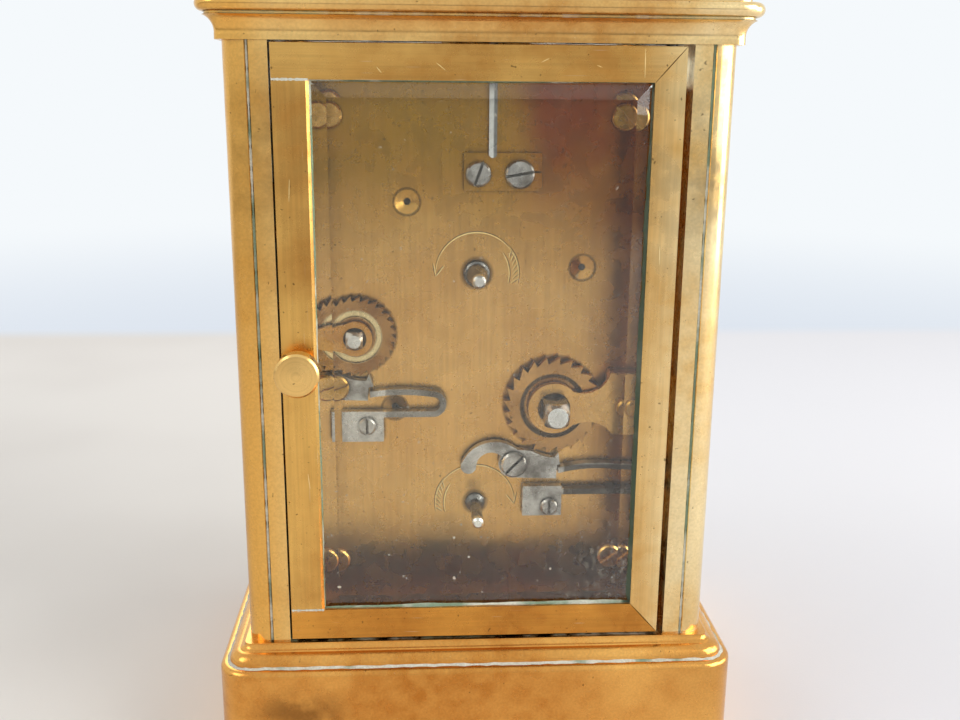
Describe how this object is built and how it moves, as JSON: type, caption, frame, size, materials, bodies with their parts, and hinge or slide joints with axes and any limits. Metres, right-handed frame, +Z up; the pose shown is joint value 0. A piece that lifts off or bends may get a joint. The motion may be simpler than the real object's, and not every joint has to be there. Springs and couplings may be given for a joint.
{
  "type": "carriage clock",
  "caption": "Brass carriage clock with alarm: glazed case on a deep base, hinged rear door, folding handle, wound and set from the back.",
  "frame": {"origin": "centre of the underside of the base", "axes": "+Z up, the dial faces -Y and the rear door with the winding squares faces +Y, X across the dial"},
  "size_m": [0.0808, 0.071, 0.1581],
  "materials": {
    "case_brass": "lacquered and worn",
    "pane_glass": "polished and bevelled",
    "plate_brass": "satin, tarnished",
    "wheel_brass": "cut and polished",
    "bright_steel": "filed and polished",
    "blued_steel": "tempered blue",
    "enamel": "white fired enamel on copper",
    "bell_metal": "turned"
  },
  "bodies": {
    "case": {"base_frame": "case_brass", "base_bottom_plate": "case_brass", "base_screws": "bright_steel", "corner_pillars": "case_brass", "cornice": "case_brass", "top_glass": "pane_glass", "top_glass_clips": "case_brass", "side_glasses": "pane_glass", "front_glass": "pane_glass", "handle_posts": "case_brass", "handle_screws": "bright_steel", "back_plate": "plate_brass", "front_plate": "plate_brass", "movement_pillars": "plate_brass", "movement_screws": "bright_steel", "dial": "enamel", "winding_cocks": "plate_brass", "click_springs": "bright_steel", "contrate_end_plate": "plate_brass", "platform_plate": "plate_brass", "balance_cock": "wheel_brass", "escape_cocks": "wheel_brass", "bell": "bell_metal", "bell_post": "plate_brass"},
    "rear_door": {"door_top_rail": "case_brass", "door_bottom_rail": "case_brass", "door_hinge_stile": "case_brass", "door_lock_stile": "case_brass", "rear_door_glass": "pane_glass", "door_knob": "case_brass", "door_hinge_pins": "bright_steel"},
    "handle_bail": {"handle": "case_brass"},
    "minute_work": {"centre_arbor": "bright_steel", "minute_hand": "blued_steel"},
    "minute_wheel_work": {"minute_wheel": "wheel_brass"},
    "hour_work": {"hour_wheel": "wheel_brass", "hour_hand": "blued_steel"},
    "alarm_setting_work": {"alarm_setting_arbor": "bright_steel", "alarm_hand": "blued_steel"},
    "going_barrel_work": {"going_barrel": "wheel_brass", "going_mainspring": "blued_steel"},
    "going_winding_work": {"going_winding_arbor": "bright_steel", "going_ratchet_wheel": "wheel_brass"},
    "going_click_work": {"going_click": "bright_steel"},
    "intermediate_work": {"intermediate_wheel": "wheel_brass"},
    "centre_wheel_work": {"centre_wheel": "wheel_brass"},
    "third_work": {"third_wheel": "wheel_brass"},
    "contrate_work": {"contrate_wheel": "wheel_brass"},
    "escape_work": {"escape_wheel": "wheel_brass"},
    "pallet_work": {"pallet_lever": "bright_steel"},
    "balance_work": {"balance": "wheel_brass", "hairspring": "blued_steel"},
    "regulator_work": {"regulator_index": "bright_steel"},
    "alarm_barrel_work": {"alarm_barrel": "wheel_brass", "alarm_mainspring": "blued_steel"},
    "alarm_winding_work": {"alarm_winding_arbor": "bright_steel", "alarm_ratchet_wheel": "wheel_brass"},
    "alarm_click_work": {"alarm_click": "bright_steel"},
    "alarm_wheel_work": {"alarm_wheel": "wheel_brass"},
    "alarm_hammer_work": {"alarm_hammer": "bright_steel"}
  },
  "joints": [
    {"name": "rear_door_hinge", "type": "hinge", "parent": "case", "child": "rear_door", "pos_m": [-0.0265, 0.0294, 0.025], "axis": [0, 0, 1], "range_deg": [0, 110]},
    {"name": "handle_swing", "type": "hinge", "parent": "case", "child": "handle_bail", "pos_m": [0, 0, 0.1282], "axis": [1, 0, 0], "range_deg": [-90, 90]},
    {"name": "minute_setting", "type": "hinge", "parent": "case", "child": "minute_work", "pos_m": [0, 0, 0.0806], "axis": [0, 1, 0], "continuous": true},
    {"name": "minute_wheel_turn", "type": "hinge", "parent": "case", "child": "minute_wheel_work", "pos_m": [-0.009, -0.016, 0.0806], "axis": [0, 1, 0], "continuous": true},
    {"name": "hour_turn", "type": "hinge", "parent": "case", "child": "hour_work", "pos_m": [0, -0.018, 0.0806], "axis": [0, 1, 0], "continuous": true},
    {"name": "alarm_setting", "type": "hinge", "parent": "case", "child": "alarm_setting_work", "pos_m": [0, 0, 0.0424], "axis": [0, 1, 0], "continuous": true},
    {"name": "contrate_turn", "type": "hinge", "parent": "case", "child": "contrate_work", "pos_m": [-0.0037, 0, 0.0962], "axis": [0, 1, 0], "continuous": true},
    {"name": "third_turn", "type": "hinge", "parent": "case", "child": "third_work", "pos_m": [0.0108, 0, 0.0917], "axis": [0, 1, 0], "continuous": true},
    {"name": "centre_turn", "type": "hinge", "parent": "case", "child": "centre_wheel_work", "pos_m": [0, 0, 0.0806], "axis": [0, 1, 0], "continuous": true},
    {"name": "intermediate_turn", "type": "hinge", "parent": "case", "child": "intermediate_work", "pos_m": [-0.0166, 0, 0.0815], "axis": [0, 1, 0], "continuous": true},
    {"name": "going_barrel_turn", "type": "hinge", "parent": "case", "child": "going_barrel_work", "pos_m": [-0.0123, 0, 0.0594], "axis": [0, 1, 0], "continuous": true},
    {"name": "escape_turn", "type": "hinge", "parent": "case", "child": "escape_work", "pos_m": [-0.0037, -0.0102, 0.1116], "axis": [0, 0, 1], "continuous": true},
    {"name": "pallet_swing", "type": "hinge", "parent": "case", "child": "pallet_work", "pos_m": [-0.0032, -0.0045, 0.1116], "axis": [0, 0, 1], "range_deg": [-5, 5]},
    {"name": "balance_swing", "type": "hinge", "parent": "case", "child": "balance_work", "pos_m": [-0.0022, 0.0035, 0.114], "axis": [0, 0, 1], "range_deg": [-220, 220], "stiffness_Nm_per_rad": 0.00001, "deforming": ["hairspring"]},
    {"name": "regulator_turn", "type": "hinge", "parent": "case", "child": "regulator_work", "pos_m": [-0.0022, 0.0035, 0.1184], "axis": [0, 0, 1], "range_deg": [-8, 8]},
    {"name": "going_winding", "type": "hinge", "parent": "case", "child": "going_winding_work", "pos_m": [-0.0123, 0.017, 0.0594], "axis": [0, 1, 0], "continuous": true},
    {"name": "going_click_swing", "type": "hinge", "parent": "case", "child": "going_click_work", "pos_m": [-0.0061, 0.0188, 0.0497], "axis": [0, 1, 0], "range_deg": [-4, 6], "stiffness_Nm_per_rad": 0.002, "deforming": ["click_springs"]},
    {"name": "alarm_barrel_turn", "type": "hinge", "parent": "case", "child": "alarm_barrel_work", "pos_m": [0.019, 0, 0.0709], "axis": [0, 1, 0], "continuous": true},
    {"name": "alarm_wheel_turn", "type": "hinge", "parent": "case", "child": "alarm_wheel_work", "pos_m": [0.013, 0, 0.0588], "axis": [0, 1, 0], "continuous": true},
    {"name": "alarm_winding", "type": "hinge", "parent": "case", "child": "alarm_winding_work", "pos_m": [0.019, 0.017, 0.0709], "axis": [0, 1, 0], "continuous": true},
    {"name": "alarm_click_swing", "type": "hinge", "parent": "case", "child": "alarm_click_work", "pos_m": [0.0222, 0.0188, 0.0628], "axis": [0, 1, 0], "range_deg": [-4, 7], "stiffness_Nm_per_rad": 0.002, "deforming": ["click_springs"]},
    {"name": "hammer_swing", "type": "hinge", "parent": "case", "child": "alarm_hammer_work", "pos_m": [0.0155, 0, 0.048], "axis": [0, 1, 0], "range_deg": [-5, 1.5], "stiffness_Nm_per_rad": 0.005}
  ],
  "couplings": [
    {"joint": "minute_wheel_turn", "follows": "minute_setting", "ratio": -0.33333},
    {"joint": "hour_turn", "follows": "minute_setting", "ratio": 0.083333},
    {"joint": "third_turn", "follows": "contrate_turn", "ratio": -0.125},
    {"joint": "centre_turn", "follows": "contrate_turn", "ratio": 0.0125},
    {"joint": "intermediate_turn", "follows": "contrate_turn", "ratio": -0.0025},
    {"joint": "going_barrel_turn", "follows": "contrate_turn", "ratio": 0.000625},
    {"joint": "escape_turn", "follows": "contrate_turn", "ratio": -7.5},
    {"joint": "alarm_wheel_turn", "follows": "alarm_barrel_turn", "ratio": -5.1667}
  ]
}
